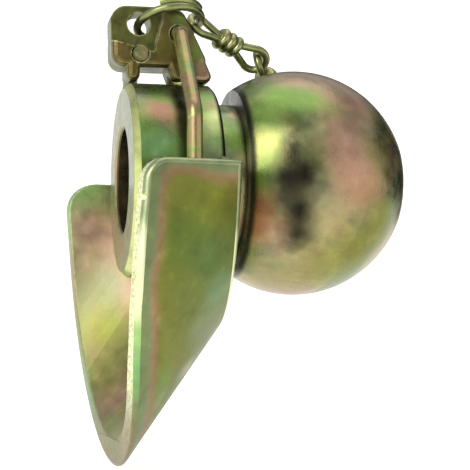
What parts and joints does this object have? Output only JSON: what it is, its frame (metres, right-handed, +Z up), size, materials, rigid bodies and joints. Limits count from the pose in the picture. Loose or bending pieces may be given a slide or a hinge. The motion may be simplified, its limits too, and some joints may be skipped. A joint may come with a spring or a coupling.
{
  "type": "lower link hook-on ball with guide and lynch pin",
  "caption": "Bored hook-on ball with neck and collar, a bent catch guide welded round the collar, and a chained lynch pin with a wire bail through the collar.",
  "frame": {"origin": "ball centre on the bore axis", "axes": "+X along the bore away from the collar, +Z up, -Y towards the side the picture shows"},
  "size_m": [0.0899, 0.0831, 0.1299],
  "materials": {
    "ball_zinc": "yellow-chromate zinc, semi-gloss",
    "guide_zinc": "yellow-chromate zinc, semi-gloss",
    "weld_zinc": "plated weld metal, rough",
    "pin_zinc": "yellow-chromate zinc, semi-gloss",
    "bail_zinc": "yellow-chromate zinc, glossy wire",
    "chain_zinc": "yellow-chromate zinc, glossy wire"
  },
  "bodies": {
    "ball": {"ball_body": "ball_zinc", "guide_plate": "guide_zinc", "weld_near_right": "weld_zinc", "weld_near_left": "weld_zinc", "weld_far_right": "weld_zinc", "weld_far_left": "weld_zinc", "chain_link_1": "chain_zinc", "chain_link_2": "chain_zinc", "chain_link_3": "chain_zinc", "chain_link_4": "chain_zinc", "guide_ring": "chain_zinc"},
    "pin": {"lynch_pin": "pin_zinc", "bail": "bail_zinc"},
    "ring": {"chain_ring": "chain_zinc"}
  },
  "joints": [
    {"name": "pin_lift", "type": "slide", "parent": "ball", "child": "pin", "axis": [0, 0, 1], "range_m": [0, 0.0008]},
    {"name": "ring_swing", "type": "hinge", "parent": "pin", "child": "ring", "pos_m": [-0.045, 0, 0.0434], "axis": [0, 1, 0], "range_deg": [0, 3]}
  ],
  "couplings": [
    {"joint": "ring_swing", "follows": "pin_lift", "rad_per_m": 55}
  ]
}
